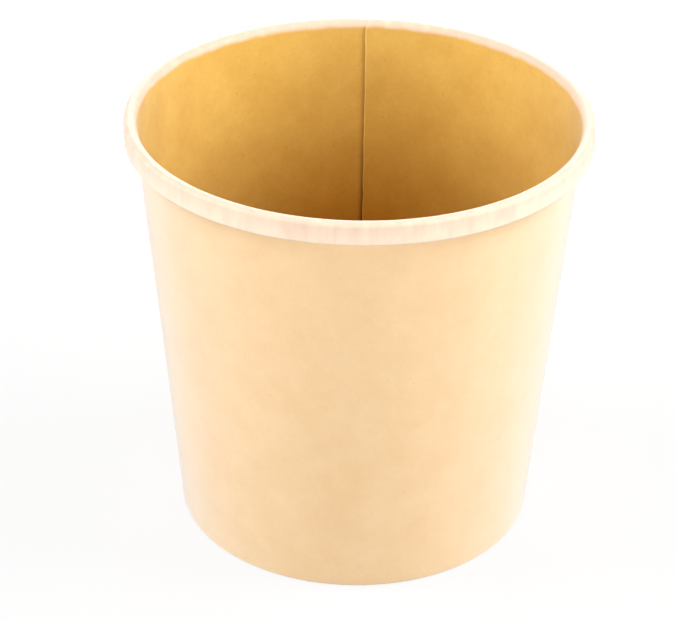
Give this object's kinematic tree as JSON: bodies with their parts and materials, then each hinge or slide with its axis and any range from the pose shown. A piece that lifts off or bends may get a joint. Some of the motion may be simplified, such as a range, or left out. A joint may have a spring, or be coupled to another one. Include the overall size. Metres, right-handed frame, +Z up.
{
  "type": "soup tub",
  "caption": "Round tapered tub of bamboo pulp board with a rolled rim, a lapped side seam and a recessed base, for hot soup or other takeaway food.",
  "frame": {"origin": "centre of the foot, on the surface that the tub stands on", "axes": "+Z up along the tub's axis, +Y towards the side seam, +X to the right when the seam is at the back"},
  "size_m": [0.115, 0.115, 0.1093],
  "materials": {
    "wall_board": "matt uncoated bamboo pulp board, thin lining inside",
    "base_board": "matt uncoated bamboo pulp board, thin lining on top"
  },
  "bodies": {
    "root": {"side_wall": "wall_board", "base_disc": "base_board"}
  },
  "joints": []
}
